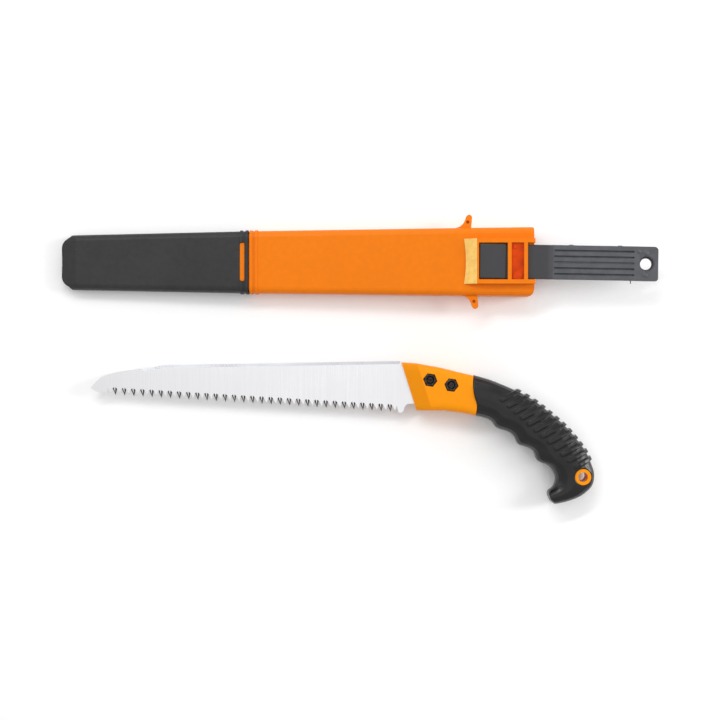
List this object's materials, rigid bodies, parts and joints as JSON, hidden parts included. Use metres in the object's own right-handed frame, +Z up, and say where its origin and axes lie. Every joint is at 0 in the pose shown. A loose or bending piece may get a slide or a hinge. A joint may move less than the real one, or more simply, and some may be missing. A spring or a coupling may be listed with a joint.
{
  "type": "fixed-blade pruning saw with belt scabbard",
  "caption": "Curved-grip pull-cut pruning saw with a bolted fixed blade, lying beside its two-piece belt scabbard with a flexible pierced strap.",
  "frame": {"origin": "bottom centre of the laid-out set's box, on the surface that it lies on", "axes": "+X along the scabbard from toe to strap, +Y from the saw towards the scabbard, +Z up off the table"},
  "size_m": [0.5043, 0.2446, 0.0356],
  "materials": {
    "chromed_steel": "satin hard chrome on ground carbon steel",
    "orange_plastic": "satin moulded polypropylene, orange",
    "black_rubber": "satin moulded elastomer, black",
    "blackened_steel": "black oxide on steel",
    "charcoal_plastic": "fine-textured moulded polypropylene, charcoal",
    "slate_plastic": "smooth flexible moulded polyethylene, slate grey"
  },
  "bodies": {
    "scabbard": {"sleeve": "orange_plastic", "toe_boot": "charcoal_plastic", "strap_tongue": "slate_plastic"},
    "strap": {"strap_tail": "slate_plastic"},
    "saw": {"blade": "chromed_steel", "handle_core": "orange_plastic", "grip": "black_rubber", "bolt_front": "blackened_steel", "bolt_rear": "blackened_steel", "nut_front": "blackened_steel", "nut_rear": "blackened_steel"}
  },
  "joints": [
    {"name": "saw_draw", "type": "slide", "parent": "scabbard", "child": "saw", "axis": [1, 0, 0], "range_m": [0, 0.33]},
    {"name": "strap_flex", "type": "hinge", "parent": "scabbard", "child": "strap", "pos_m": [0.15438, 0.0823, 0.0308], "axis": [-0.0175, -0.9998, 0], "range_deg": [-10, 90], "stiffness_Nm_per_rad": 0.8}
  ]
}
